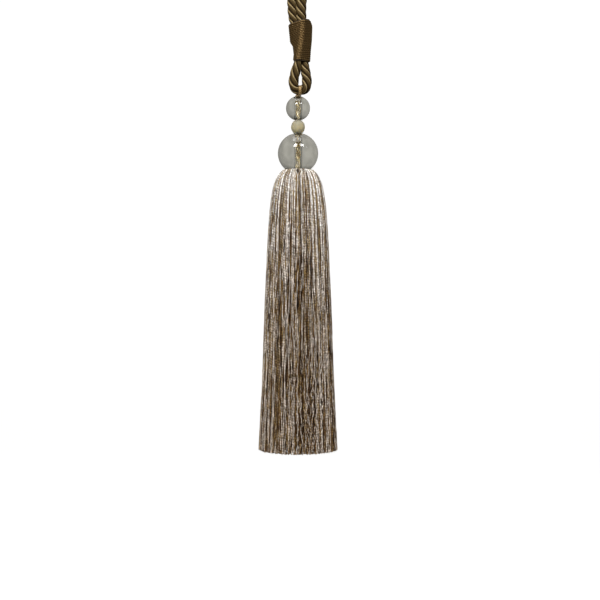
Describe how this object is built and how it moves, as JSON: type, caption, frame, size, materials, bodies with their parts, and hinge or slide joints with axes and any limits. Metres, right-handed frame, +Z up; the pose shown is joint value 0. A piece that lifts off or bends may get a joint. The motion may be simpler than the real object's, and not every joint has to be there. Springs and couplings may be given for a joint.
{
  "type": "curtain tieback",
  "caption": "Curtain tieback: a twisted rope loop bound by a yarn collar, with glass balls and a bead on a gold cord above a long tassel.",
  "frame": {"origin": "inside of the rope loop's crown, where the loop bears on the hook that holds it", "axes": "+Z up, along the hanging tassel; the rope loop lies in the XZ plane; the front faces -Y"},
  "size_m": [0.0599, 0.0599, 0.3781],
  "materials": {
    "rope": "satin olive-bronze viscose rope",
    "collar": "dark bronze yarn, wound",
    "gold_cord": "fine twisted gold cord with a soft metallic sheen",
    "glass": "clear, polished",
    "bead": "cream, slightly see-through",
    "skirt": "twisted yarn, silver-white mixed with bronze and dark brown"
  },
  "bodies": {
    "root": {"rope_loop": "rope", "collar": "collar", "hanging_cord": "gold_cord", "small_glass_ball": "glass", "cream_bead": "bead", "large_glass_ball": "glass", "tassel_skirt": "skirt"}
  },
  "joints": []
}
